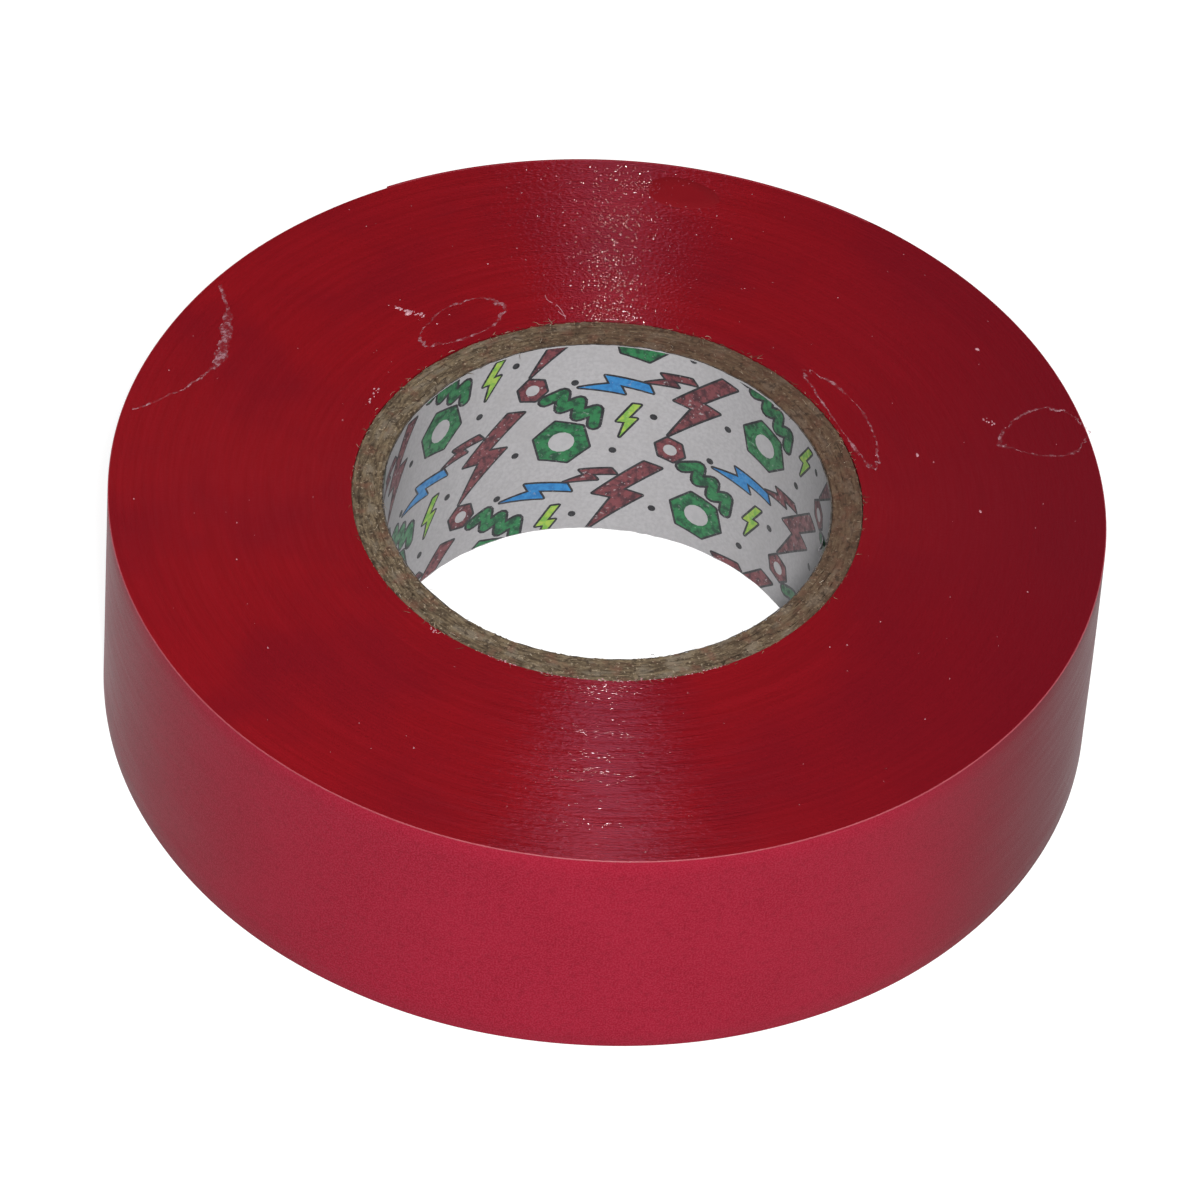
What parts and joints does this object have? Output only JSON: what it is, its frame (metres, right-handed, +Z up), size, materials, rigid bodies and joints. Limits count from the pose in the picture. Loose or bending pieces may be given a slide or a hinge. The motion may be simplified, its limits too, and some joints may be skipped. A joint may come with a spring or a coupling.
{
  "type": "electrical tape roll",
  "caption": "Roll of red vinyl electrical tape wound on a paperboard core with a printed paper liner; the free end of the strip peels off and straightens.",
  "frame": {"origin": "centre of the roll's bottom face, which it lies on", "axes": "+Z up along the roll's own axis; the free end of the strip is on the +Y side, with its cut tip 30 degrees past +Y towards -X"},
  "size_m": [0.0715, 0.0715, 0.019],
  "materials": {
    "tape_vinyl": "satin plasticised PVC, deep red",
    "core_board": "raw fibrous chipboard",
    "liner_paper": "white printed paper"
  },
  "bodies": {
    "roll": {"core_ply_outer": "core_board", "core_ply_third": "core_board", "core_ply_second": "core_board", "core_ply_inner": "core_board", "printed_liner": "liner_paper", "wound_tape": "tape_vinyl"},
    "free_end_01": {"free_end_01": "tape_vinyl"},
    "free_end_02": {"free_end_02": "tape_vinyl"},
    "free_end_03": {"free_end_03": "tape_vinyl"},
    "free_end_04": {"free_end_04": "tape_vinyl"},
    "free_end_05": {"free_end_05": "tape_vinyl"},
    "free_end_06": {"free_end_06": "tape_vinyl"},
    "free_end_07": {"free_end_07": "tape_vinyl"},
    "free_end_08": {"free_end_08": "tape_vinyl"},
    "free_end_09": {"free_end_09": "tape_vinyl"},
    "free_end_10": {"free_end_10": "tape_vinyl"},
    "free_end_11": {"free_end_11": "tape_vinyl"},
    "free_end_12": {"free_end_12": "tape_vinyl"}
  },
  "joints": [
    {"name": "free_end_lift", "type": "hinge", "parent": "roll", "child": "free_end_01", "pos_m": [0.01789, 0.03098, 0.0095], "axis": [0, 0, -1], "range_deg": [0, 30]},
    {"name": "free_end_lift_02", "type": "hinge", "parent": "free_end_01", "child": "free_end_02", "pos_m": [0.01512, 0.03243, 0.0095], "axis": [0, 0, -1], "range_deg": [0, 15]},
    {"name": "free_end_uncurl", "type": "hinge", "parent": "free_end_02", "child": "free_end_03", "pos_m": [0.01224, 0.03362, 0.0095], "axis": [0, 0, -1], "range_deg": [0, 6]},
    {"name": "free_end_uncurl_04", "type": "hinge", "parent": "free_end_03", "child": "free_end_04", "pos_m": [0.00926, 0.03456, 0.0095], "axis": [0, 0, -1], "range_deg": [0, 6]},
    {"name": "free_end_uncurl_05", "type": "hinge", "parent": "free_end_04", "child": "free_end_05", "pos_m": [0.00621, 0.03524, 0.0095], "axis": [0, 0, -1], "range_deg": [0, 6]},
    {"name": "free_end_uncurl_06", "type": "hinge", "parent": "free_end_05", "child": "free_end_06", "pos_m": [0.00312, 0.03565, 0.0095], "axis": [0, 0, -1], "range_deg": [0, 6]},
    {"name": "free_end_uncurl_07", "type": "hinge", "parent": "free_end_06", "child": "free_end_07", "pos_m": [0, 0.03579, 0.0095], "axis": [0, 0, -1], "range_deg": [0, 6]},
    {"name": "free_end_uncurl_08", "type": "hinge", "parent": "free_end_07", "child": "free_end_08", "pos_m": [-0.00312, 0.03565, 0.0095], "axis": [0, 0, -1], "range_deg": [0, 6]},
    {"name": "free_end_uncurl_09", "type": "hinge", "parent": "free_end_08", "child": "free_end_09", "pos_m": [-0.00622, 0.03525, 0.0095], "axis": [0, 0, -1], "range_deg": [0, 6]},
    {"name": "free_end_uncurl_10", "type": "hinge", "parent": "free_end_09", "child": "free_end_10", "pos_m": [-0.00926, 0.03457, 0.0095], "axis": [0, 0, -1], "range_deg": [0, 6]},
    {"name": "free_end_uncurl_11", "type": "hinge", "parent": "free_end_10", "child": "free_end_11", "pos_m": [-0.01224, 0.03364, 0.0095], "axis": [0, 0, -1], "range_deg": [0, 6]},
    {"name": "free_end_uncurl_12", "type": "hinge", "parent": "free_end_11", "child": "free_end_12", "pos_m": [-0.01513, 0.03244, 0.0095], "axis": [0, 0, -1], "range_deg": [0, 6]}
  ],
  "couplings": [
    {"joint": "free_end_lift_02", "follows": "free_end_lift", "ratio": 0.5},
    {"joint": "free_end_uncurl_04", "follows": "free_end_uncurl", "ratio": 1},
    {"joint": "free_end_uncurl_05", "follows": "free_end_uncurl", "ratio": 1},
    {"joint": "free_end_uncurl_06", "follows": "free_end_uncurl", "ratio": 1},
    {"joint": "free_end_uncurl_07", "follows": "free_end_uncurl", "ratio": 1},
    {"joint": "free_end_uncurl_08", "follows": "free_end_uncurl", "ratio": 1},
    {"joint": "free_end_uncurl_09", "follows": "free_end_uncurl", "ratio": 1},
    {"joint": "free_end_uncurl_10", "follows": "free_end_uncurl", "ratio": 1},
    {"joint": "free_end_uncurl_11", "follows": "free_end_uncurl", "ratio": 1},
    {"joint": "free_end_uncurl_12", "follows": "free_end_uncurl", "ratio": 1}
  ]
}
